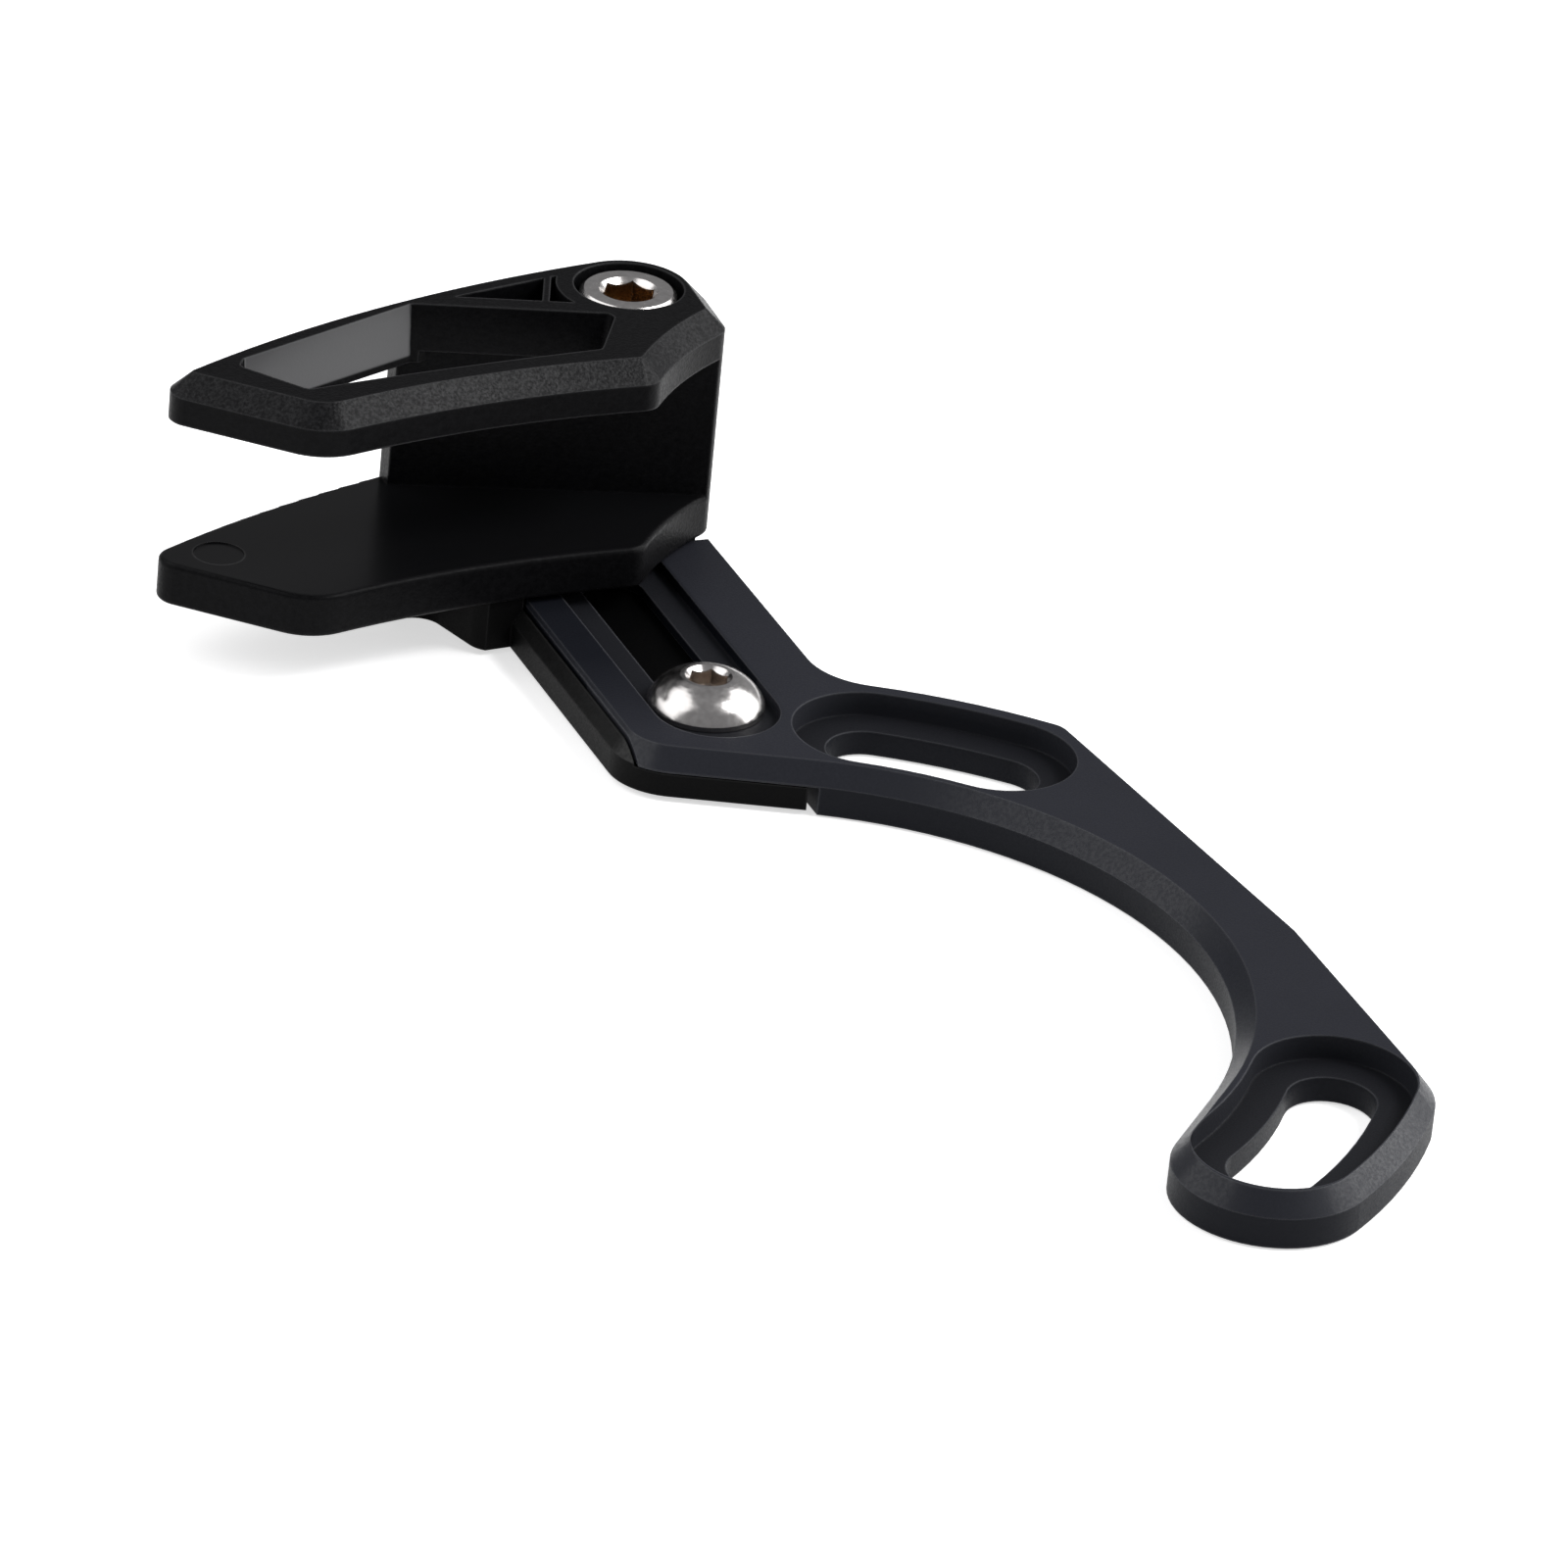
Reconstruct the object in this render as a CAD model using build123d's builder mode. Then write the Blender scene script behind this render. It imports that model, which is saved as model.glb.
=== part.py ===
from build123d import *
import os
from math import acos, atan2, cos, degrees, hypot, radians, sin, sqrt, tan

os.makedirs("parts", exist_ok=True)

# Bicycle chain guide, in millimetres and degrees. The origin is the axis of the bottom bracket on the
# arm's back face. +Z points outboard and +Y is the way in which the cage slides away from that axis.

# Arm plate
arm_thickness = 4.2
chamfer_width = 1.4
chamfer_depth = 1.7
slot_circle_radius = 43.2
inner_width = 8.35
shoulder_width = 9.0
waist_width = 8.35
toe_wall = 1.35
toe_step = 0.75
toe_angle = -53.5
heel_angle = 66.0
rail_width = 12.1
end_wall = 2.25
flank_bend_y = -2.4
flank_lean = 6.7
heel_fillet = 5.5
rail_fillet = 5.0
shoulder_fillet = 3.5
foot_fillet = 8.0

# Counterbored arc slots for the two M6 mounting bolts
bolt_slot_width = 7.0
slot_pocket_width = 12.8
slot_pocket_depth = 2.1
upper_slot_angle = 52.5
upper_slot_sweep_angle = 14.2
lower_slot_angle = -44.25
lower_slot_sweep_angle = 17.5

# Slide channel along the upper section, and the clamp bolt's place in it
slide_x = 10.7
clamp_rise = 2.1
travel = 21.3
channel_gap = 0.4
channel_depth = 0.9
channel_run_in = 2.1
slide_slot_gap = 0.15

# Carrier that slides behind the arm
back_relief = 0.3
carrier_plate = 2.0
carrier_edge = 3.7
lip_reach = 9.7
lip_width = 0.9
slide_gap = 0.1
seam_gap = 0.25
side_gap = 0.8
end_gap = 0.6

# Pad of the carrier under the cage, with an ear beside the arm
pad_inset = 0.5
ear_reach = 15.5
ear_width = 3.6
ear_slant = 2.2
ear_depth = 7.3
ear_fillet = 2.2
pad_step = 4.1

# Cage, set out from the axis of its own bolt, with the mould's round mark near its tip
cage_bolt_offset = 4.3
cage_bolt_setback = 5.1
cage_lift = 0.5
lower_plate = 3.7
chain_gap = 12.5
upper_plate = 4.1
cage_chamfer = 1.75
cage_edge_radius = 0.4
boss_radius = 6.85
back_angle = 98.6
cage_tip = (-44.3, -8.7)
cage_chin = (-33.0, -19.1)
cage_brow = (-3.05, -15.15)
cage_corner = (6.5, -6.4)
front_hollow = 1.25
waist_hollow = 0.65
chin_fillet = 5.0
crown_fillet = 0.3
mark_place = (-37.9, -9.2)
mark_width = 4.2
mark_depth = 0.12

# Web that joins the two plates of the cage, and the recesses of the upper plate
web_turn = -17.3
web_front = 5.6
web_left = -19.9
web_swing = 1.8
window_left_x = -19.1
window_right_x = -3.0
window_corner = (-6.6, -11.3)
window_chin = (-33.0, -14.1)
window_nose = (-37.1, -8.8)
window_back = (-36.3, -7.5)
window_hollow = 0.32
window_fillet = 0.8
window_draft = 6.0
window_land = 0.65
rim_drop = 1.05
rim_front = 0.9
core_rim = 3.0
core_wall = 1.75
core_depth = 9.0
core_rib = 0.6
core_rib_place = (-6.9, 1.0)
core_rib_turn = 68.0
boss_wall_radius = 6.1

# M5 cap bolt of the cage, in its counterbore
cage_head_width = 8.2
cage_head_height = 5.0
cage_head_drop = 0.3
cage_head_bevel = 0.4
cage_head_hex = 4.0
cage_hex_depth = 2.5
cage_bore_gap = 0.5

# M5 button-head bolt that clamps the slide
clamp_head_width = 9.7
clamp_head_height = 2.75
clamp_head_rim = 0.4
clamp_flat_rim = 0.37
clamp_head_lean = 20.5
clamp_head_hex = 3.0
clamp_hex_depth = 1.6

# Shape that both M5 bolts share, with a plain shank for the thread, and the clearances around it
mouth_rim = 0.2
mouth_angle = 45.0
mouth_run = 0.1
thread_width = 5.0
thread_gap = 0.1
shank_gap = 0.25
head_gap = 0.05
bolt_end_gap = 0.4

# Sizes and places that follow from the ones above
inner_radius = slot_circle_radius - inner_width
shoulder_radius = slot_circle_radius + shoulder_width
toe_radius = slot_pocket_width / 2 + toe_wall
toe_circle_radius = inner_radius + toe_step + toe_radius
foot_radius = toe_circle_radius + toe_radius
flank_x = inner_radius + waist_width
channel_width = clamp_head_width + 2 * channel_gap
slide_slot_width = thread_width + 2 * slide_slot_gap
clamp_y = slot_circle_radius + clamp_rise
arm_right = slide_x + rail_width
arm_end_y = clamp_y + travel + channel_width / 2 + end_wall
ledge_z = arm_thickness - channel_depth
slot_ledge_z = arm_thickness - slot_pocket_depth
carrier_top = back_relief + carrier_plate
recess_depth = carrier_top + slide_gap
lip_x = slide_x - lip_reach
lip_inner_x = lip_x + lip_width
arm_left = lip_inner_x + seam_gap
carrier_right = slide_x + carrier_edge
recess_wall_x = carrier_right + side_gap
cage_bolt_x = slide_x + cage_bolt_offset
cage_bolt_y = arm_end_y + cage_bolt_setback
cage_floor = arm_thickness + cage_lift
lower_top = cage_floor + lower_plate
upper_floor = lower_top + chain_gap
cage_top = upper_floor + upper_plate
cage_fillet = cage_chamfer + crown_fillet
window_depth = upper_plate + rim_drop - window_land
window_step = window_depth * tan(radians(window_draft))
cage_bore_width = cage_head_width + 2 * cage_bore_gap
clearance_hole = thread_width + 2 * shank_gap
cage_mouth_radius = cage_head_hex / sqrt(3) + mouth_rim
cage_mouth_depth = cage_mouth_radius - cage_head_hex / 2 + mouth_run
clamp_mouth_radius = clamp_head_hex / sqrt(3) + mouth_rim
clamp_mouth_depth = clamp_mouth_radius - clamp_head_hex / 2 + mouth_run
clamp_flat_radius = clamp_mouth_radius + clamp_flat_rim
beyond = 200.0


def polar(radius, angle):
    """Point of the plan at a radius and an angle from the bottom bracket axis."""
    return (radius * cos(radians(angle)), radius * sin(radians(angle)))


def on_circle(radius, x):
    """Height on a circle about the bottom bracket axis at a distance x to the right."""
    return sqrt(radius**2 - x**2)


def cage_plane(height):
    """Plan plane of the cage, with its origin on the axis of the cage bolt."""
    return Plane((cage_bolt_x, cage_bolt_y, height))


def web_plane(depth):
    """Upright plane along the window's side at the web, at a depth behind it, in the cage's plan."""
    along = Vector(1, 0, 0).rotate(Axis.Z, web_turn)
    behind = along.rotate(Axis.Z, 90)
    return Plane(behind * (depth - web_front), x_dir=along, z_dir=behind)


def web_point(x):
    """Point of the window's line along the web at a distance x from the cage bolt, in the cage's plan."""
    slope = radians(web_turn)
    return (x, x * tan(slope) - web_front / cos(slope))


def web_face():
    """Upright plane of the web's front face, swung back from the window's line about the web's left end."""
    along = Vector(1, 0, 0).rotate(Axis.Z, web_turn + web_swing)
    return Plane(Vector(*web_point(web_left)), x_dir=along, z_dir=along.rotate(Axis.Z, 90))


def rim_plane():
    """Upright plane a little in front of the window's back wall, in the cage's plan."""
    along = (Vector(*web_point(window_left_x)) - Vector(*window_back)).normalized()
    behind = along.rotate(Axis.Z, 90)
    return Plane(Vector(*window_back) - behind * rim_front, x_dir=along, z_dir=behind)


def guide_outline():
    """Plan outline that the arm and the carrier's lip share, from the foot up to the slide's end."""
    heel_point = Vector(*polar(inner_radius, heel_angle))
    heel_way = Vector(*polar(1, heel_angle + 90))
    heel_corner = heel_point + heel_way * ((lip_x - heel_point.X) / heel_way.X)
    rail_foot = (arm_right, on_circle(shoulder_radius, arm_right))
    rail_angle = degrees(atan2(rail_foot[1], rail_foot[0]))
    bend = Vector(flank_x, flank_bend_y)
    lean = Vector(*polar(1, 90 + flank_lean))
    reach = sqrt(bend.dot(lean) ** 2 - bend.dot(bend) + shoulder_radius**2) - bend.dot(lean)
    shoulder_corner = bend + lean * reach
    shoulder_angle = degrees(atan2(shoulder_corner.Y, shoulder_corner.X))
    foot_corner = (flank_x, -on_circle(foot_radius, flank_x))
    foot_angle = degrees(atan2(foot_corner[1], foot_corner[0]))
    toe = Vector(*polar(toe_circle_radius, toe_angle))
    instep_angle = toe_angle + degrees(acos((inner_radius + toe_radius) / toe_circle_radius))
    instep = toe - Vector(*polar(toe_radius, instep_angle))
    with BuildSketch() as outline:
        with BuildLine():
            inner = CenterArc((0, 0), inner_radius, instep_angle, heel_angle - instep_angle)
            heel = Line(inner @ 1, heel_corner)
            left = Line(heel @ 1, (lip_x, arm_end_y))
            end = Line(left @ 1, (arm_right, arm_end_y))
            Line(end @ 1, rail_foot)
            CenterArc((0, 0), shoulder_radius, rail_angle, shoulder_angle - rail_angle)
            Line(shoulder_corner, bend)
            Line(bend, foot_corner)
            CenterArc((0, 0), foot_radius, foot_angle, toe_angle - foot_angle)
            CenterArc(toe, toe_radius, toe_angle, instep_angle - toe_angle - 180)
            Line(instep, inner @ 0)
        make_face()
        corners = (
            (heel_corner, heel_fillet),
            (rail_foot, rail_fillet),
            (shoulder_corner, shoulder_fillet),
            (foot_corner, foot_fillet),
        )
        for corner, radius in corners:
            fillet(outline.vertices().sort_by_distance(corner)[0], radius)
    return outline.sketch


def cage_outline():
    """Plan outline that both plates of the cage share, about the axis of the cage bolt."""
    corner_reach = hypot(*cage_corner)
    corner_angle = degrees(atan2(cage_corner[1], cage_corner[0]))
    side_angle = corner_angle + degrees(acos(boss_radius / corner_reach))
    with BuildSketch() as outline:
        with BuildLine():
            boss = CenterArc((0, 0), boss_radius, side_angle, back_angle - side_angle)
            TangentArc(boss @ 1, cage_tip, tangent=boss % 1)
            Line(cage_tip, cage_chin)
            SagittaArc(cage_chin, cage_brow, front_hollow)
            SagittaArc(cage_brow, cage_corner, waist_hollow)
            Line(cage_corner, boss @ 0)
        make_face()
        corners = (
            (cage_tip, cage_fillet),
            (cage_chin, chin_fillet),
            (cage_brow, cage_fillet),
            (cage_corner, cage_fillet),
        )
        for corner, radius in corners:
            fillet(outline.vertices().sort_by_distance(corner)[0], radius)
    return outline.sketch


def window_outline():
    """Plan outline of the upper plate's window at its top, with one side along the web."""
    with BuildSketch() as outline:
        with BuildLine():
            Polyline(window_chin, window_nose, window_back, web_point(window_left_x))
            Polyline(web_point(window_left_x), web_point(window_right_x), window_corner)
            SagittaArc(window_corner, window_chin, -window_hollow)
        make_face()
        fillet(outline.vertices(), window_fillet)
    return outline.sketch


guide_plan = guide_outline()
cage_plan = cage_outline()
window_plan = window_outline()
slot_spans = ((upper_slot_angle, upper_slot_sweep_angle), (lower_slot_angle, lower_slot_sweep_angle))

# Arm: a chamfered plate with two counterbored arc slots, the slide channel and the carrier's recess
with BuildPart() as arm:
    with BuildSketch():
        add(guide_plan)
    extrude(amount=arm_thickness)
    top = arm.faces().sort_by(Axis.Z)[-1]
    chamfer(top.edges(), chamfer_width, chamfer_depth, reference=top)
    split(bisect_by=Plane.YZ.offset(arm_left), keep=Keep.TOP)
    for width, floor in ((slot_pocket_width, slot_ledge_z), (bolt_slot_width, 0)):
        with BuildSketch(Plane.XY.offset(floor)):
            for middle, sweep in slot_spans:
                arc = CenterArc((0, 0), slot_circle_radius, middle - sweep / 2, sweep, mode=Mode.PRIVATE)
                SlotArc(arc, width)
        extrude(amount=arm_thickness, mode=Mode.SUBTRACT)
    with BuildSketch(Plane.XY.offset(ledge_z)):
        with Locations((slide_x, clamp_y - channel_run_in)):
            Circle(channel_width / 2)
            Rectangle(channel_width, beyond, align=(Align.CENTER, Align.MIN))
    extrude(amount=arm_thickness, mode=Mode.SUBTRACT)
    with BuildSketch():
        with Locations((slide_x, clamp_y + travel / 2)):
            SlotCenterToCenter(travel, slide_slot_width, rotation=90)
    extrude(amount=arm_thickness, mode=Mode.SUBTRACT)
    with BuildSketch():
        with Locations((recess_wall_x, 0)):
            Rectangle(beyond, beyond, align=(Align.MAX, Align.MIN))
    extrude(amount=recess_depth, mode=Mode.SUBTRACT)

arm.part.label = "backplate_arm"
export_step(arm.part, "parts/backplate_arm.step")

# Carrier: a plate in the arm's recess, a lip beside the arm's left edge and a raised pad under the cage
with BuildPart() as carrier:
    with BuildSketch():
        add(guide_plan)
    extrude(amount=arm_thickness)
    top = carrier.faces().sort_by(Axis.Z)[-1]
    chamfer(top.edges(), chamfer_width, chamfer_depth, reference=top)
    split(bisect_by=Plane.YZ.offset(lip_inner_x), keep=Keep.BOTTOM)
    split(bisect_by=Plane.XY.offset(back_relief), keep=Keep.TOP)
    with BuildSketch(Plane.XY.offset(back_relief)):
        add(guide_plan)
        with Locations((lip_x, arm_end_y)):
            Rectangle(carrier_right - lip_x, cage_bolt_setback, align=(Align.MIN, Align.MIN))
        with Locations((carrier_right, 0)):
            Rectangle(beyond, beyond, align=(Align.MAX, Align.MIN), mode=Mode.INTERSECT)
    extrude(amount=carrier_plate)
    with BuildSketch(cage_plane(back_relief)) as pad:
        add(cage_plan)
        offset(amount=-pad_inset)
        pad_front = end_gap - cage_bolt_setback
        ear_front = -ear_reach
        ear_back = ear_front + ear_depth
        arm_side = lip_inner_x - cage_bolt_x
        ear_tip = arm_side - ear_width
        ear_root = ear_tip - ear_slant
        pad_left = ear_root - pad_step
        with BuildSketch(mode=Mode.PRIVATE) as reach:
            with BuildLine():
                Polyline(
                    (arm_side, pad_front),
                    (arm_side, ear_front),
                    (ear_tip, ear_front),
                    (ear_root, ear_back),
                    (pad_left, ear_back),
                    (pad_left, beyond),
                    (beyond, beyond),
                    (beyond, pad_front),
                    close=True,
                )
            make_face()
            for corner in ((ear_tip, ear_front), (ear_root, ear_back)):
                fillet(reach.vertices().sort_by_distance(corner)[0], ear_fillet)
        add(reach.sketch, mode=Mode.INTERSECT)
    extrude(amount=cage_floor - back_relief)
    with Locations((slide_x, clamp_y, carrier_top), (cage_bolt_x, cage_bolt_y, cage_floor)):
        Hole(thread_width / 2 + thread_gap)

carrier.part.label = "slider_carrier"
export_step(carrier.part, "parts/slider_carrier.step")

# Cage: two plates joined by a web, with a window, a back rim and a cored recess in the upper plate
with BuildPart() as cage:
    with BuildSketch(cage_plane(cage_floor)):
        add(cage_plan)
    extrude(amount=lower_plate)
    fillet(cage.edges().group_by(Axis.Z)[0] + cage.edges().group_by(Axis.Z)[-1], cage_edge_radius)
    with BuildSketch(cage_plane(lower_top)):
        with Locations(mark_place):
            Circle(mark_width / 2)
    extrude(amount=-mark_depth, mode=Mode.SUBTRACT)
    with BuildSketch(cage_plane(upper_floor)):
        add(cage_plan)
    extrude(amount=upper_plate)
    chamfer(cage.faces().sort_by(Axis.Z)[-1].edges(), cage_chamfer)
    with BuildSketch(cage_plane(upper_floor)):
        add(cage_plan)
        split(bisect_by=web_face(), keep=Keep.TOP)
        split(bisect_by=Plane.YZ.offset(web_left), keep=Keep.TOP)
    extrude(amount=-chain_gap - lower_plate / 2)
    with BuildSketch(cage_plane(upper_floor)):
        add(cage_plan)
        split(bisect_by=rim_plane(), keep=Keep.TOP)
        split(bisect_by=Plane.YZ.offset(window_back[0]), keep=Keep.TOP)
    extrude(amount=-rim_drop)
    with BuildSketch(cage_plane(cage_top)):
        add(window_plan)
    extrude(amount=-window_depth, taper=window_draft, mode=Mode.SUBTRACT)
    with BuildSketch(cage_plane(cage_top)):
        add(window_plan)
        offset(amount=-window_step)
    extrude(amount=-upper_plate - rim_drop, mode=Mode.SUBTRACT)
    with BuildSketch(cage_plane(cage_top)):
        add(cage_plan)
        offset(amount=-core_rim)
        split(bisect_by=web_plane(core_wall), keep=Keep.TOP)
        split(bisect_by=Plane.YZ, keep=Keep.BOTTOM)
        Circle(boss_wall_radius, mode=Mode.SUBTRACT)
        with Locations(core_rib_place):
            Rectangle(beyond, core_rib, rotation=core_rib_turn, mode=Mode.SUBTRACT)
    extrude(amount=-core_depth, mode=Mode.SUBTRACT)
    with Locations((cage_bolt_x, cage_bolt_y, cage_top)):
        CounterBoreHole(clearance_hole / 2, cage_bore_width / 2, cage_head_height + cage_head_drop)

cage.part.label = "chain_cage"
export_step(cage.part, "parts/chain_cage.step")

# Cage bolt: cap head with a hexagon socket, its shank through the cage into the carrier's pad
cage_head_top = cage_top - cage_head_drop
cage_head_floor = cage_head_top - cage_head_height
with BuildPart() as cage_bolt:
    with BuildSketch(cage_plane(back_relief + bolt_end_gap)):
        Circle(thread_width / 2)
    extrude(amount=cage_head_floor - back_relief - bolt_end_gap)
    with BuildSketch(cage_plane(cage_head_floor)):
        Circle(cage_head_width / 2)
    extrude(amount=cage_head_height)
    chamfer(cage_bolt.edges().sort_by(Axis.Z)[-1], cage_head_bevel)
    with BuildSketch(cage_plane(cage_head_top)):
        RegularPolygon(cage_head_hex / 2, 6, major_radius=False)
    extrude(amount=-cage_hex_depth, mode=Mode.SUBTRACT)
    with BuildSketch(cage_plane(cage_head_top)):
        Circle(cage_mouth_radius)
    extrude(amount=-cage_mouth_depth, taper=mouth_angle, mode=Mode.SUBTRACT)

cage_bolt.part.label = "cage_bolt"
export_step(cage_bolt.part, "parts/cage_bolt.step")

# Clamp bolt: low domed head on the channel's ledge, its shank in the carrier's plate
clamp_seat = ledge_z + head_gap
with BuildPart() as clamp_bolt:
    with BuildSketch(Plane.XZ.offset(-clamp_y)):
        with BuildLine():
            rim = (slide_x + clamp_head_width / 2, clamp_seat + clamp_head_rim)
            flat = (slide_x + clamp_flat_radius, clamp_seat + clamp_head_height)
            Polyline(
                flat,
                (slide_x, clamp_seat + clamp_head_height),
                (slide_x, back_relief + bolt_end_gap),
                (slide_x + thread_width / 2, back_relief + bolt_end_gap),
                (slide_x + thread_width / 2, clamp_seat),
                (slide_x + clamp_head_width / 2, clamp_seat),
                rim,
            )
            TangentArc(rim, flat, tangent=polar(1, 90 + clamp_head_lean))
        make_face()
    revolve(axis=Axis((slide_x, clamp_y, 0), (0, 0, 1)))
    with BuildSketch(Plane((slide_x, clamp_y, clamp_seat + clamp_head_height))):
        RegularPolygon(clamp_head_hex / 2, 6, major_radius=False)
    extrude(amount=-clamp_hex_depth, mode=Mode.SUBTRACT)
    with BuildSketch(Plane((slide_x, clamp_y, clamp_seat + clamp_head_height))):
        Circle(clamp_mouth_radius)
    extrude(amount=-clamp_mouth_depth, taper=mouth_angle, mode=Mode.SUBTRACT)

clamp_bolt.part.label = "clamp_bolt"
export_step(clamp_bolt.part, "parts/clamp_bolt.step")
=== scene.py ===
# %% [markdown]
# # A bicycle chain guide, dressed for a studio picture
#
# The object is a chain guide: a flat crescent arm that bolts to a bicycle frame round the bottom
# bracket, a carrier that slides behind the arm, and a moulded cage through which the chain runs. Its
# shapes come from a CAD model, so this lesson is about the other half of the work: the camera, the
# light and four finishes that are nearly all black and still have to look different from each other.

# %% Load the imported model
from math import radians

import bpy
from mathutils import Matrix, Vector


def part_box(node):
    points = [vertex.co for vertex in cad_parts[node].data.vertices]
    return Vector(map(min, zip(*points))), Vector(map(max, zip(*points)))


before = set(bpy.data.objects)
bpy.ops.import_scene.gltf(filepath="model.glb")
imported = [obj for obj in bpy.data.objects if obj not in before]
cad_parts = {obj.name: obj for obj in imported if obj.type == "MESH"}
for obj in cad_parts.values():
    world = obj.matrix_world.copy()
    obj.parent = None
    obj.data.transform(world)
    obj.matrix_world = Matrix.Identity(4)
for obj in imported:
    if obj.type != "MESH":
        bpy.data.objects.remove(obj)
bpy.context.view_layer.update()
print("pieces:", sorted(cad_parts))

# %% [markdown]
# ## The camera
#
# The picture was taken with a long lens from the front left, looking down on the arm. Three angles
# describe that: a turn round the upright axis, a tilt below the horizon and a small roll. They could be
# dialled in by hand in the viewport, but a product of three rotations keeps each angle readable. The
# lens is long, so the far end of the arm is hardly smaller than the near one.

# %% Place the camera
TURN = radians(-24.0)
TILT = radians(26.8)
ROLL = radians(5.6)
DISTANCE = 0.8594
PICTURE_CENTRE = Vector((0.0112, 0.0294, 0.0042))
LENS_MM = 247.5
SENSOR_MM = 36.0

camera_data = bpy.data.cameras.new("studio_camera")
camera_data.lens = LENS_MM
camera_data.sensor_width = SENSOR_MM
camera_data.clip_start = 0.01
camera = bpy.data.objects.new("studio_camera", camera_data)
bpy.context.scene.collection.objects.link(camera)
turned = Matrix.Rotation(TURN, 4, "Z")
tilted = Matrix.Rotation(radians(90) - TILT, 4, "X")
rolled = Matrix.Rotation(ROLL, 4, "Z")
aim = turned @ tilted @ rolled
camera_place = PICTURE_CENTRE + aim.to_3x3() @ Vector((0, 0, DISTANCE))
camera.matrix_world = Matrix.Translation(camera_place) @ aim
bpy.context.scene.camera = camera
print("camera stands at", [round(value, 4) for value in camera_place])

# %% [markdown]
# ## Building finishes from nodes
#
# Each finish is a small tree of shader nodes. Written out in full, the trees hide what matters under
# lines that only create and connect. So three helpers do that part: one starts a material and hands
# back its shader, one sets or connects an input, and one adds a node with its settings and its inputs.

# %% Helpers for shader nodes
def start_finish(name):
    """A new material with its main shader."""
    finish = bpy.data.materials.new(name)
    finish.use_nodes = True
    return finish, finish.node_tree.nodes["Principled BSDF"]


def connect(finish, node, socket, value):
    """Set an input, by its name or number, to a plain value or to another node's output."""
    if isinstance(value, bpy.types.NodeSocket):
        finish.node_tree.links.new(value, node.inputs[socket])
    else:
        node.inputs[socket].default_value = value


def add_node(finish, kind, inputs, **settings):
    """A node of this kind, with its settings made before its inputs."""
    node = finish.node_tree.nodes.new(kind)
    for name, value in settings.items():
        setattr(node, name, value)
    for socket, value in inputs.items():
        connect(finish, node, socket, value)
    return node


print("node helpers ready")

# %% [markdown]
# ### Patterns and colours
#
# A pattern has to stay on its piece when the piece moves, so it is laid out in the piece's own
# coordinates, which are metres here. Noise makes the grain. Its values crowd round the middle, so they
# are stretched to the range that is wanted, and a Mix node then blends two colours by them.

# %% Pattern helpers
MM = 0.001
NOISE_SPREAD = (0.3, 0.7)


def object_place(finish):
    """Where a point lies on the piece, in metres."""
    return add_node(finish, "ShaderNodeTexCoord", {}).outputs["Object"]


def add_grain(finish, size_mm, detail=2.0, roughness=0.5):
    """Noise whose spots are about this size, fixed to the piece."""
    inputs = {
        "Vector": object_place(finish),
        "Scale": 1 / (size_mm * MM),
        "Detail": detail,
        "Roughness": roughness,
    }
    return add_node(finish, "ShaderNodeTexNoise", inputs).outputs["Fac"]


def remap(finish, value, low, high, new_low=0.0, new_high=1.0):
    """Stretch a range of values to another one, and stop at its ends."""
    inputs = {
        "Value": value,
        "From Min": low,
        "From Max": high,
        "To Min": new_low,
        "To Max": new_high,
    }
    return add_node(finish, "ShaderNodeMapRange", inputs, clamp=True).outputs["Result"]


def blend_colours(finish, factor, first, second):
    """A colour between two colours, each a plain colour or another node's output."""
    node = add_node(finish, "ShaderNodeMix", {"Factor": factor}, data_type="RGBA")
    for number, colour in ((6, first), (7, second)):
        plain = not isinstance(colour, bpy.types.NodeSocket)
        connect(finish, node, number, (*colour, 1.0) if plain else colour)
    return node.outputs[2]


print("pattern helpers ready, with noise spread over", NOISE_SPREAD)

# %% [markdown]
# ## Masks from the shape
#
# One piece often has two finishes: a blasted face beside a milled floor, or a textured outside and a
# smooth inside. They could be two materials on two sets of faces, but then the line between them would
# follow the mesh. The surface already knows which way it faces and where on the piece it lies, so a
# ramp over each of these makes a soft mask. The product of two masks keeps what both hold, and the
# larger of the two keeps what either holds.

# %% Helpers that combine masks
def both(finish, first, second):
    """1 where two masks are both 1."""
    return add_node(finish, "ShaderNodeMath", {0: first, 1: second}, operation="MULTIPLY").outputs[0]


def either(finish, first, second):
    """1 where one of two masks is 1."""
    return add_node(finish, "ShaderNodeMath", {0: first, 1: second}, operation="MAXIMUM").outputs[0]


def share(finish, mask, at_none, at_full):
    """A mask's 0 and 1 turned into two other values."""
    return remap(finish, mask, 0.0, 1.0, at_none, at_full)


def opposite(finish, mask):
    """1 where a mask is 0, and 0 where it is 1."""
    return share(finish, mask, 1.0, 0.0)


print("masks can be combined")

# %% Helpers that read the shape
CHAMFER_LEAN = (0.5, 0.85)
LEAN_FADE = 0.1


def surface_normal(finish):
    """The way in which the face looks, before any bump."""
    return add_node(finish, "ShaderNodeNewGeometry", {}).outputs["Normal"]


def facing(finish, way, low, high):
    """0 where the face looks less than low along a direction, and 1 where it looks more than high."""
    inputs = {0: surface_normal(finish), 1: way}
    dot = add_node(finish, "ShaderNodeVectorMath", inputs, operation="DOT_PRODUCT")
    return remap(finish, dot.outputs["Value"], low, high)


def facing_up(finish, low, high):
    """0 where the face's upward lean is under low, and 1 where it is over high."""
    return facing(finish, (0.0, 0.0, 1.0), low, high)


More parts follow.
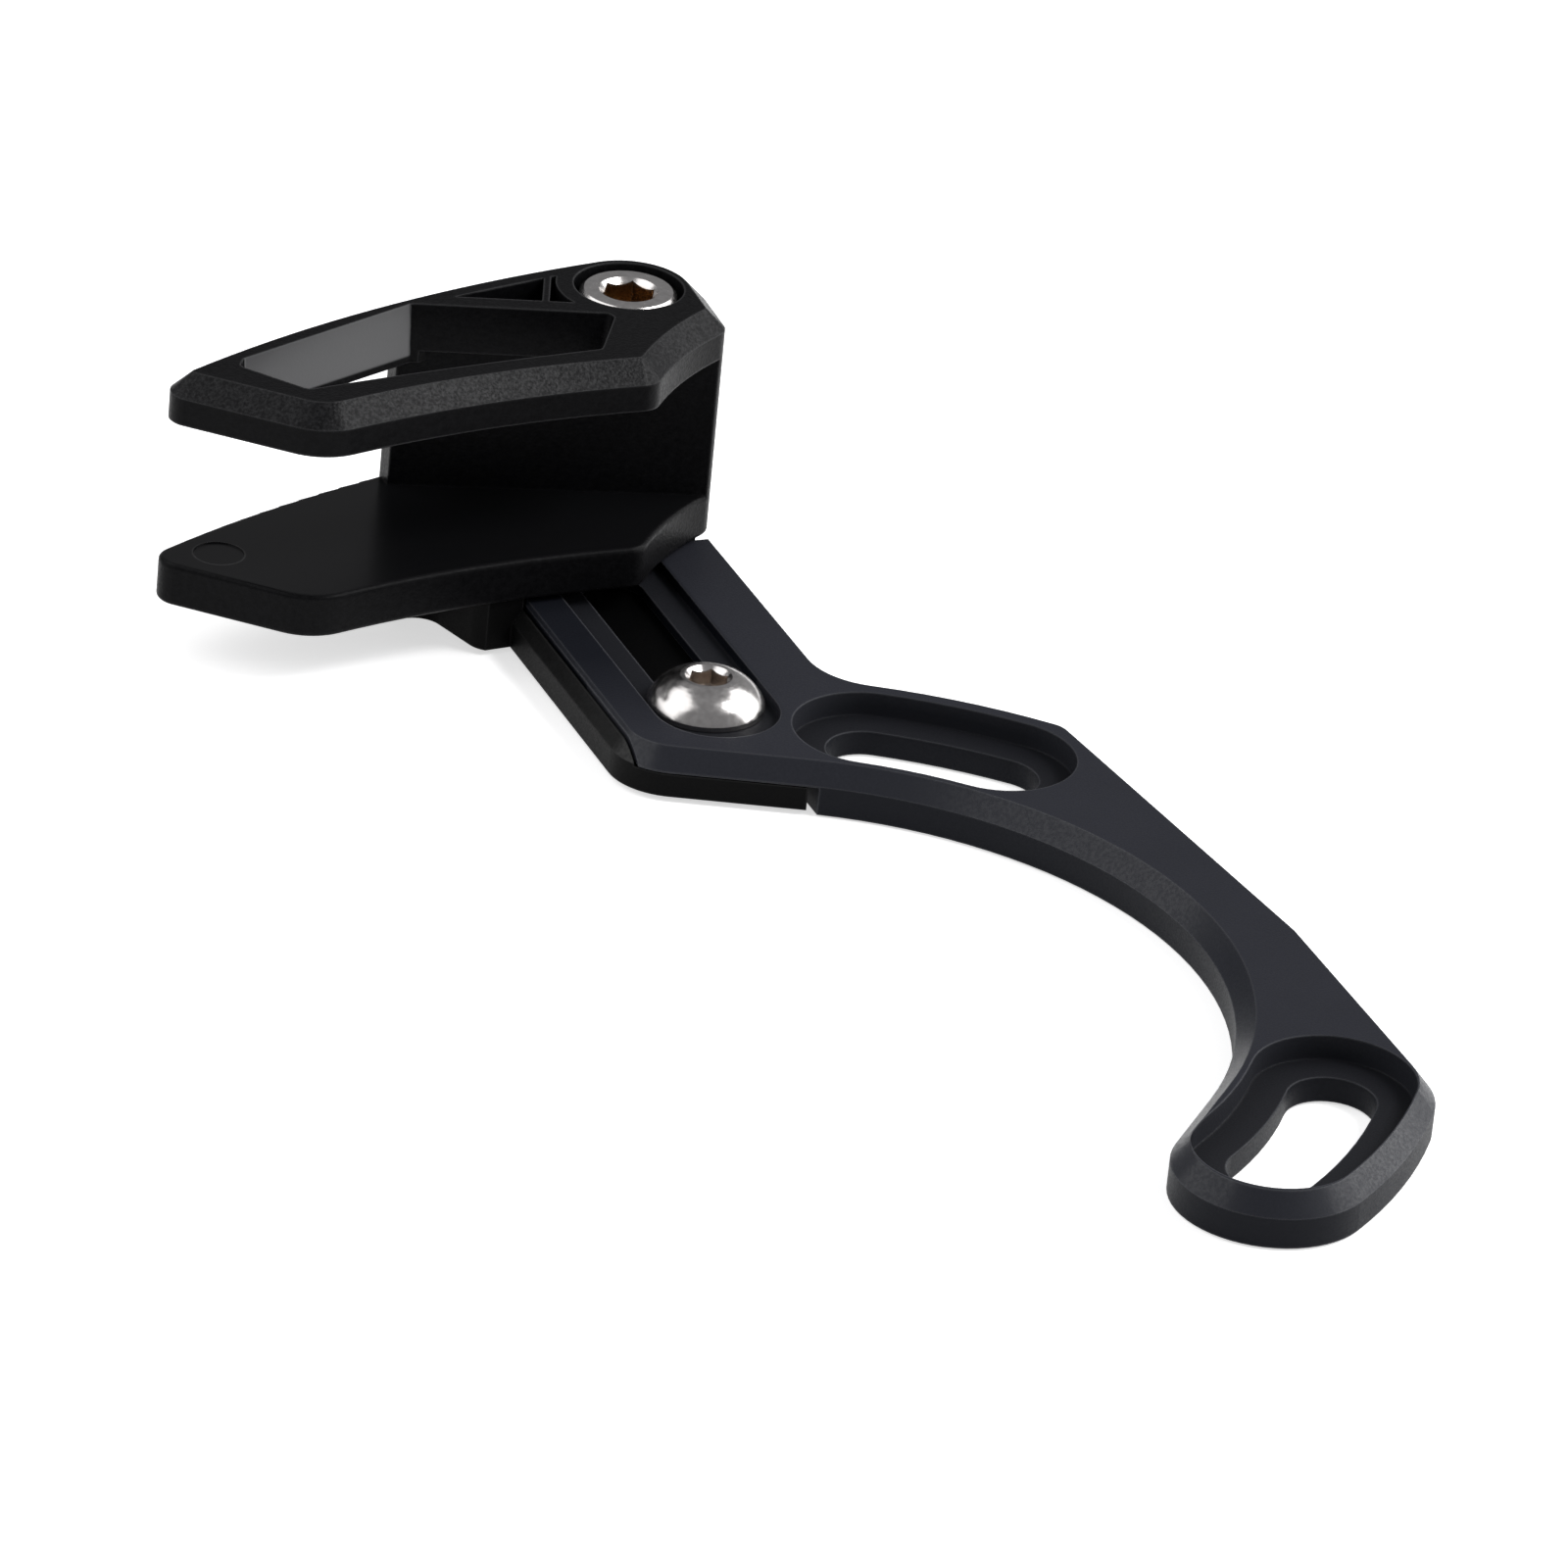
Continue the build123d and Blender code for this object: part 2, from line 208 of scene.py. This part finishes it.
def chamfer_faces(finish):
    """1 on faces that lean as a chamfer does, and 0 on flat and upright ones."""
    steepest, flattest = CHAMFER_LEAN
    leaning = facing_up(finish, steepest - LEAN_FADE, steepest)
    flat = facing_up(finish, flattest, flattest + LEAN_FADE)
    return both(finish, leaning, opposite(finish, flat))


def along_ramp(finish, axis, low_mm, high_mm):
    """0 below one place along an axis of the piece and 1 above another, or the other way round."""
    parts = add_node(finish, "ShaderNodeSeparateXYZ", {"Vector": object_place(finish)})
    return remap(finish, parts.outputs[axis], low_mm * MM, high_mm * MM)


def axis_ramp(finish, place, low_mm, high_mm):
    """0 nearer to the upright axis than one radius and 1 beyond another, or the other way round."""
    flat = add_node(finish, "ShaderNodeVectorMath", {0: place, 1: (1, 1, 0)}, operation="MULTIPLY")
    reach = add_node(finish, "ShaderNodeVectorMath", {0: flat.outputs[0]}, operation="LENGTH")
    return remap(finish, reach.outputs["Value"], low_mm * MM, high_mm * MM)


print("chamfers lean between", CHAMFER_LEAN)

# %% [markdown]
# ## Broken edges
#
# No real edge is perfectly sharp: a tumbled or moulded edge is rounded by a tenth of a millimetre or
# two, and that thin round is what catches the light. Cutting it into the mesh would touch the CAD
# shapes. The Bevel node bends only the shading near an edge. Where its normal leaves the surface's own
# normal there is an edge or an inner corner, and only an edge that stands out is lightened, partly as
# rubbed wear and partly as a painted highlight. Ambient occlusion is dark in a corner and bright on an
# edge, so the two together say where the finish is worn and where the painted highlight goes.

# %% Edge helpers
EDGE_BEND = (0.995, 0.9)
EDGE_OPENNESS = (0.75, 0.95)
EDGE_REACH_MM = 1.5


def rounded_normal(finish, radius_mm):
    """Shading normal that rounds every edge by this radius."""
    return add_node(finish, "ShaderNodeBevel", {"Radius": radius_mm * MM}, samples=6).outputs["Normal"]


def edge_factor(finish, normal):
    """0 on open faces and in corners, and 1 on edges that stand out."""
    inputs = {0: normal, 1: surface_normal(finish)}
    dot = add_node(finish, "ShaderNodeVectorMath", inputs, operation="DOT_PRODUCT")
    bent = remap(finish, dot.outputs["Value"], *EDGE_BEND)
    reach = {"Distance": EDGE_REACH_MM * MM}
    nearby = add_node(finish, "ShaderNodeAmbientOcclusion", reach, samples=8, only_local=True)
    return both(finish, bent, remap(finish, nearby.outputs["AO"], *EDGE_OPENNESS))


def bump(finish, normal, height, depth_mm):
    """A normal roughened by a height pattern."""
    inputs = {"Height": height, "Normal": normal, "Strength": 1.0, "Distance": depth_mm * MM}
    return add_node(finish, "ShaderNodeBump", inputs).outputs["Normal"]


print("edges are looked for within", EDGE_REACH_MM, "mm")

# %% [markdown]
# ## Black anodised arm and carrier
#
# The arm is milled from aluminium plate, blasted with fine beads and anodised black. The blasting
# leaves a very fine, even grain, and the dye is a cool blue-black that reads as dark grey under a soft
# light. The sides are milled and deeper in tone, and the floors of the slots are darker than the top
# as well. The walls of the slot pockets are lightened with painted light, and the rail beside the
# slide's channel darkens towards the cage with painted shade of the cage. All of these lie at known
# places on the arm, so masks find them: the pockets in a ring about the bottom bracket axis, the rail
# on one side of a line. Each place below is a pair of distances in millimetres, over which its mask
# goes from 0 to 1.

# %% Places on the arm
POCKET_RING_INSIDE = (36.0, 36.4)
POCKET_RING_OUTSIDE = (50.2, 49.9)
POCKET_FLOOR = (2.05, 2.15)
TOE_LINE = (-31.0, -30.0)
RAIL_EDGE = (16.3, 15.9)
# Painted shade of the cage fades in along the rail between these two places.
CAGE_SHADE_FADE = (40.0, 54.0)
LEDGE_HEIGHT = (3.7, 3.5)


def pocket_wall_light(finish):
    """1 on the pocket walls of the two arc slots, short of the toe's outer wall, where light is painted."""
    place = object_place(finish)
    outside = axis_ramp(finish, place, *POCKET_RING_INSIDE)
    ring = both(finish, outside, axis_ramp(finish, place, *POCKET_RING_OUTSIDE))
    upright = opposite(finish, facing_up(finish, 0.1, 0.3))
    wall = both(finish, upright, along_ramp(finish, "Z", *POCKET_FLOOR))
    return both(finish, both(finish, wall, along_ramp(finish, "Y", *TOE_LINE)), ring)


# On the carrier these floors carry painted shade; on the arm they are only a darker tone.
def recess_floors(finish):
    """1 on flat floors below the top face."""
    return both(finish, facing_up(finish, 0.9, 0.95), along_ramp(finish, "Z", *LEDGE_HEIGHT))


def cage_shade_on_rail(finish):
    """Painted shade of the cage: rises to 1 along the rail and the channel, towards the cage."""
    return both(finish, along_ramp(finish, "X", *RAIL_EDGE), along_ramp(finish, "Y", *CAGE_SHADE_FADE))


print("slot pockets lie between", POCKET_RING_INSIDE[0], "and", POCKET_RING_OUTSIDE[0], "mm from the axis")

# %% [markdown]
# ### The anodised finish
#
# A flat colour would look like plastic, so fine grain moves the normal and the roughness, broad soft
# clouds shift the tone a little, and the edges are lighter, partly where a sharp edge thins the dye and
# partly as a painted highlight. The chamfers were cut last, with a fine cutter, and a clear coat broken
# up by noise gives them a soft sheen. The carrier gets the same finish in a deeper, neutral black.

# %% Anodised finish
CAGE_SHADE_SHARE = 0.75
# Edges are lightened partly as wear and partly as a painted highlight.
ANODISED_RUB_AND_HIGHLIGHT = 0.8
CHAMFER_COAT = 0.33


def anodised_colour(finish, tones, glint, edges):
    """The dye's colour, with each tone laid over the ones before it."""
    clouds = add_grain(finish, size_mm=9.0, detail=3.0)
    mottle = remap(finish, clouds, *NOISE_SPREAD, 0.85, 1.0)
    layers = (
        ("blasted", both(finish, facing_up(finish, 0.2, 0.6), mottle)),
        ("rail", share(finish, cage_shade_on_rail(finish), 0.0, CAGE_SHADE_SHARE)),
        ("chamfer", glint),
        ("recess", recess_floors(finish)),
        ("wall", pocket_wall_light(finish)),
        ("edge", share(finish, edges, 0.0, ANODISED_RUB_AND_HIGHLIGHT)),
    )
    colour = tones["milled"]
    for tone, mask in layers:
        colour = blend_colours(finish, mask, colour, tones[tone])
    return colour


def anodised(name, shine, tones):
    """Blasted and dyed aluminium."""
    finish, shader = start_finish(name)
    grain = add_grain(finish, size_mm=0.16)
    cutter_marks = remap(finish, add_grain(finish, size_mm=0.3), 0.38, 0.62, 0.45, 1.0)
    glint = both(finish, chamfer_faces(finish), cutter_marks)
    smooth = rounded_normal(finish, radius_mm=0.25)
    colour = anodised_colour(finish, tones, glint, edge_factor(finish, smooth))
    connect(finish, shader, "Base Color", colour)
    connect(finish, shader, "Roughness", remap(finish, grain, *NOISE_SPREAD, 0.40, 0.56))
    connect(finish, shader, "Normal", bump(finish, smooth, grain, depth_mm=0.010))
    connect(finish, shader, "Coat Weight", share(finish, glint, 0.0, CHAMFER_COAT))
    connect(finish, shader, "Coat Roughness", 0.22)
    connect(finish, shader, "Specular IOR Level", shine)
    return finish


print("anodised finish ready")

# %% Tones of the arm and the carrier
arm_tones = {
    "milled": (0.0065, 0.0073, 0.0105),
    "blasted": (0.022, 0.023, 0.0295),
    "chamfer": (0.0165, 0.0178, 0.0235),
    # The rail tone is painted shade of the cage above.
    "rail": (0.0036, 0.0044, 0.0072),
    "recess": (0.0135, 0.014, 0.017),
    # The wall tone is painted light on the walls of the slot pockets.
    "wall": (0.021, 0.022, 0.027),
    # The edge tone is partly wear and partly a painted highlight.
    "edge": (0.075, 0.077, 0.085),
}
carrier_tones = {
    "milled": (0.0035, 0.0035, 0.0036),
    "blasted": (0.010, 0.010, 0.010),
    "chamfer": (0.011, 0.011, 0.011),
    "rail": (0.0035, 0.0035, 0.0036),
    # The carrier's recess tone is painted shade, on its floor where it shows through the arm's slot.
    "recess": (0.0015, 0.0015, 0.0016),
    "wall": (0.0035, 0.0035, 0.0036),
    # The edge tone is partly wear and partly a painted highlight.
    "edge": (0.03, 0.03, 0.03),
}
arm_finish = anodised("black_anodised_arm", 0.09, arm_tones)
carrier_finish = anodised("black_anodised_carrier", 0.04, carrier_tones)
print("finishes:", arm_finish.name, carrier_finish.name)

# %% [markdown]
# ## Moulded nylon cage
#
# The cage is glass-filled nylon from a spark-eroded mould. Erosion leaves a field of tiny craters, made
# here by two sizes of noise. They show most on the chamfers, where fine glints stand out of a greyer
# skin; the glints are partly a thin clear coat and partly a painted highlight, a speckled light grey in
# the colour. Two places come from polished cores in the mould and are smooth: the lower plate's upper
# face, on which the chain runs, and the long wall inside the window, which also has painted light, a
# light grey in its colour. As on the arm, masks find these places.

# %% Places on the cage
CHAIN_SIDE_HEIGHT = (9.5, 9.0)
TOP_CHAMFER_HEIGHT = (22.0, 22.6)
WINDOW_WALL_WAY = (0.403, -0.915, 0.0)
WINDOW_WALL_RIGHT = (-3.8, -4.4)
WINDOW_WALL_FRONT = (69.0, 70.0)
WINDOW_WALL_FOOT = (20.4, 20.6)


def chain_side_face(finish):
    """1 on the lower plate's upper face."""
    return both(finish, facing_up(finish, 0.8, 0.95), along_ramp(finish, "Z", *CHAIN_SIDE_HEIGHT))


def top_chamfers(finish):
    """1 on the chamfers round the upper plate."""
    return both(finish, chamfer_faces(finish), along_ramp(finish, "Z", *TOP_CHAMFER_HEIGHT))


def long_window_wall(finish):
    """1 on the long wall at the back of the window, which gets painted light and a clear coat."""
    left = along_ramp(finish, "X", *WINDOW_WALL_RIGHT)
    back = along_ramp(finish, "Y", *WINDOW_WALL_FRONT)
    upper = along_ramp(finish, "Z", *WINDOW_WALL_FOOT)
    place = both(finish, upper, both(finish, left, back))
    return both(finish, facing(finish, WINDOW_WALL_WAY, 0.95, 0.98), place)


print("the window's long wall faces", WINDOW_WALL_WAY)

# %% [markdown]
# ### The nylon finish
#
# The polished faces could have a material of their own. A clear coat over the rough base gives them
# their soft mirror without one, and the long wall in the window has painted light as well, a light grey
# in its colour. The same coat, weak and speckled, makes the glints on the chamfers together with a
# painted highlight, a speckled grey in the colour. The edges are rubbed grey, partly as wear and partly
# as a painted highlight.

# %% Patterns of the nylon
cage_finish, nylon = start_finish("moulded_nylon_cage")
craters = add_grain(cage_finish, size_mm=0.22, detail=1.0)
pits = add_grain(cage_finish, size_mm=0.5, detail=3.0, roughness=0.6)
glass = add_grain(cage_finish, size_mm=0.28, detail=3.0, roughness=0.7)
moulded_edges = rounded_normal(cage_finish, radius_mm=0.3)
chain_side = chain_side_face(cage_finish)
chamfers = top_chamfers(cage_finish)
window_wall = long_window_wall(cage_finish)
sparkle = both(cage_finish, chamfers, remap(cage_finish, glass, 0.40, 0.66, 0.2, 1.0))
print("started", cage_finish.name)

# %% Colour of the nylon
DEEP_BLACK = (0.0030, 0.0030, 0.0034)
SKIN_BLACK = (0.0052, 0.0052, 0.0058)
PAINTED_GLINT_GREY = (0.019, 0.019, 0.0203)
CHAIN_SIDE_BLACK = (0.0042, 0.0042, 0.0047)
PAINTED_WALL_LIGHT_GREY = (0.055, 0.055, 0.058)
RUBBED_AND_HIGHLIT_GREY = (0.06, 0.06, 0.062)
NYLON_RUB_AND_HIGHLIGHT = 0.75

skin = blend_colours(cage_finish, remap(cage_finish, pits, 0.35, 0.65), DEEP_BLACK, SKIN_BLACK)
# Painted highlight: the chamfers' speckled glints are a lighter grey in the colour.
painted_glints = blend_colours(cage_finish, sparkle, skin, PAINTED_GLINT_GREY)
inner = blend_colours(cage_finish, chain_side, painted_glints, CHAIN_SIDE_BLACK)
# Painted light: the long window wall is a light grey in the colour.
wall_painted_light = blend_colours(cage_finish, window_wall, inner, PAINTED_WALL_LIGHT_GREY)
# Edges: a rubbed grey that is partly wear and partly a painted highlight.
rubbed_and_highlit = share(cage_finish, edge_factor(cage_finish, moulded_edges), 0.0, NYLON_RUB_AND_HIGHLIGHT)
connect(cage_finish, nylon, "Base Color", blend_colours(cage_finish, rubbed_and_highlit, wall_painted_light, RUBBED_AND_HIGHLIT_GREY))
print("nylon skin from", DEEP_BLACK, "to", SKIN_BLACK, "and rubbed to", RUBBED_AND_HIGHLIT_GREY)

# %% Sheen of the nylon
CHAIN_SIDE_COAT = 0.22
GLINT_COAT = 0.10

cored = either(cage_finish, share(cage_finish, chain_side, 0.0, CHAIN_SIDE_COAT), window_wall)
coat = either(cage_finish, cored, share(cage_finish, sparkle, 0.0, GLINT_COAT))
connect(cage_finish, nylon, "Coat Weight", coat)
connect(cage_finish, nylon, "Coat Roughness", 0.28)
connect(cage_finish, nylon, "Specular IOR Level", 0.05)
moulded = remap(cage_finish, craters, *NOISE_SPREAD, 0.28, 0.44)
connect(cage_finish, nylon, "Roughness", both(cage_finish, moulded, share(cage_finish, chain_side, 1.0, 0.6)))
print("the chain's side has", CHAIN_SIDE_COAT, "of a clear coat and the glints have", GLINT_COAT)

# %% Eroded skin of the nylon
CRATER_DEPTH_MM = 0.05
PIT_DEPTH_MM = 0.03

outside = share(cage_finish, chain_side, 1.0, 0.1)
eroded = both(cage_finish, outside, share(cage_finish, chamfers, 0.4, 1.0))
cratered = bump(cage_finish, moulded_edges, both(cage_finish, craters, eroded), CRATER_DEPTH_MM)
pitted = bump(cage_finish, cratered, both(cage_finish, pits, eroded), PIT_DEPTH_MM)
connect(cage_finish, nylon, "Normal", pitted)
print("craters", CRATER_DEPTH_MM, "mm and pits", PIT_DEPTH_MM, "mm deep")

# %% [markdown]
# ## Stainless bolts
#
# The bolts are turned from stainless steel, so the tool leaves rings about their own axis. A wave
# pattern of rings needs its centre on that axis, which a Mapping node gives. The domed head of the
# clamp bolt is polished a little finer than the flat head of the cage bolt. Both sockets are stained by
# the broach's oil, so a mask of the space inside each socket mixes in a warmer colour.

# %% Finish of the bolts
RING_PITCH_MM = 1.2
RING_DEPTH_MM = 0.002
SOCKET_FADE_MM = 0.15
STAIN_TOP_MM = -0.35
STAIN_FULL_MM = -0.7
DULL_STEEL = (0.56, 0.54, 0.53)
BRIGHT_STEEL = (0.66, 0.64, 0.63)


def socket_space(finish, place, radius_mm):
    """1 inside a socket of this radius, a little below the bolt's top."""
    parts = add_node(finish, "ShaderNodeSeparateXYZ", {"Vector": place})
    below = remap(finish, parts.outputs["Z"], STAIN_TOP_MM * MM, STAIN_FULL_MM * MM)
    return both(finish, axis_ramp(finish, place, radius_mm, radius_mm - SOCKET_FADE_MM), below)


def turned_steel(name, node, socket_radius_mm, stain, gloss):
    """Turned steel with a stained socket, centred on the top of a bolt's box."""
    finish, shader = start_finish(name)
    low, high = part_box(node)
    centre = ((low.x + high.x) / 2, (low.y + high.y) / 2, high.z)
    shift = {"Vector": object_place(finish), "Location": tuple(-value for value in centre)}
    place = add_node(finish, "ShaderNodeMapping", shift).outputs[0]
    ring_inputs = {"Vector": place, "Scale": 1 / (RING_PITCH_MM * MM), "Distortion": 0.6}
    rings = add_node(finish, "ShaderNodeTexWave", ring_inputs, wave_type="RINGS", rings_direction="Z")
    scuffs = add_grain(finish, size_mm=0.6, detail=4.0)
    steel = blend_colours(finish, remap(finish, scuffs, *NOISE_SPREAD), DULL_STEEL, BRIGHT_STEEL)
    stained = blend_colours(finish, socket_space(finish, place, socket_radius_mm), steel, stain)
    ringed = bump(finish, rounded_normal(finish, radius_mm=0.1), rings.outputs["Fac"], RING_DEPTH_MM)
    connect(finish, shader, "Base Color", stained)
    connect(finish, shader, "Metallic", 1.0)
    connect(finish, shader, "Roughness", remap(finish, scuffs, *NOISE_SPREAD, gloss, gloss + 0.08))
    connect(finish, shader, "Normal", ringed)
    print(name, "is turned about", [round(value, 4) for value in centre])
    return finish


cage_bolt_finish = turned_steel(
    "turned_steel_cage_bolt", "cage_bolt", socket_radius_mm=2.4, stain=(0.30, 0.20, 0.11), gloss=0.20)
clamp_bolt_finish = turned_steel(
    "turned_steel_clamp_bolt", "clamp_bolt", socket_radius_mm=1.85, stain=(0.40, 0.35, 0.31), gloss=0.18)

# %% [markdown]
# ## Dressing the CAD pieces
#
# A CAD piece keeps its mesh and takes its finish through its material slot. The shading is smooth
# already, because the model brings its own normals.

# %% Hand out the finishes
finishes = {
    "backplate_arm": arm_finish,
    "slider_carrier": carrier_finish,
    "chain_cage": cage_finish,
    "cage_bolt": cage_bolt_finish,
    "clamp_bolt": clamp_bolt_finish,
}
for node, finish in finishes.items():
    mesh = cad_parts[node].data
    mesh.materials.clear()
    mesh.materials.append(finish)
    print(node, "->", finish.name, len(mesh.polygons), "faces")

# %% [markdown]
# ## Floor
#
# The guide lies on its back face on a white table. A wide plane in a matt white is enough, with no
# horizon in the picture, because the camera looks down on it. Lit by the lamps alone it would come out
# a pale grey, and stronger lamps would wash out the black pieces. So the floor adds a little light of
# its own, only to what the camera or a reflection sees of it, and the shadow stays.

# %% Make the floor
FLOOR_SIZE = 8.0
FLOOR_DROP = 0.0002
FLOOR_GLOW = 0.62

bpy.ops.mesh.primitive_plane_add(size=FLOOR_SIZE, location=(0, 0, -FLOOR_DROP))
floor = bpy.context.object
floor.name = "studio_floor"
floor_finish, floor_shader = start_finish("studio_floor")
connect(floor_finish, floor_shader, "Base Color", (0.9, 0.9, 0.9, 1.0))
connect(floor_finish, floor_shader, "Roughness", 0.9)
connect(floor_finish, floor_shader, "Specular IOR Level", 0.0)
connect(floor_finish, floor_shader, "Emission Color", (1.0, 1.0, 1.0, 1.0))
path = add_node(floor_finish, "ShaderNodeLightPath", {}).outputs
mirrored = either(floor_finish, path["Is Glossy Ray"], path["Is Transmission Ray"])
seen = either(floor_finish, path["Is Camera Ray"], mirrored)
connect(floor_finish, floor_shader, "Emission Strength", share(floor_finish, seen, 0.0, FLOOR_GLOW))
floor.data.materials.append(floor_finish)
print("floor at", floor.location.z)

# %% [markdown]
# ## Light
#
# Black things show only what they reflect. Two large soft lamps stand left and right, so near that the
# domed bolt mirrors them as two broad lobes. The right one models the arm's outer flank and the
# stronger chamfers, and the left one the carrier's lip. A small third lamp, in front on the right,
# stands where the middle of the cage's front chamfer mirrors it, and wakes the glints there. Nothing
# hangs overhead, so the flat top faces mirror only the dim grey room and stay deep black.

# %% Set the lamps
def softbox(name, place, width, height, watts):
    """A lamp of this width and height that faces the middle of the picture."""
    lamp = bpy.data.lights.new(name, "AREA")
    lamp.shape = "RECTANGLE"
    lamp.size = width
    lamp.size_y = height
    lamp.energy = watts
    box = bpy.data.objects.new(name, lamp)
    bpy.context.scene.collection.objects.link(box)
    toward = PICTURE_CENTRE - Vector(place)
    box.matrix_world = Matrix.Translation(place) @ toward.to_track_quat("-Z", "Y").to_matrix().to_4x4()
    print(name, "stands at", place, "with", watts, "watts")


softbox("right_softbox", (0.56, -0.02, 0.33), width=0.62, height=0.62, watts=4.0)
softbox("left_softbox", (-0.42, 0.20, 0.40), width=0.65, height=0.62, watts=2.1)
softbox("front_kicker", (0.339, -0.200, 0.527), width=0.18, height=0.18, watts=1.4)

# %% Dim the room
ROOM_GREY = (0.25, 0.25, 0.255, 1.0)

world = bpy.data.worlds.new("studio_room")
world.use_nodes = True
world.node_tree.nodes["Background"].inputs["Color"].default_value = ROOM_GREY
bpy.context.scene.world = world
bpy.context.scene.view_settings.view_transform = "Standard"
print("room grey:", ROOM_GREY[:3])
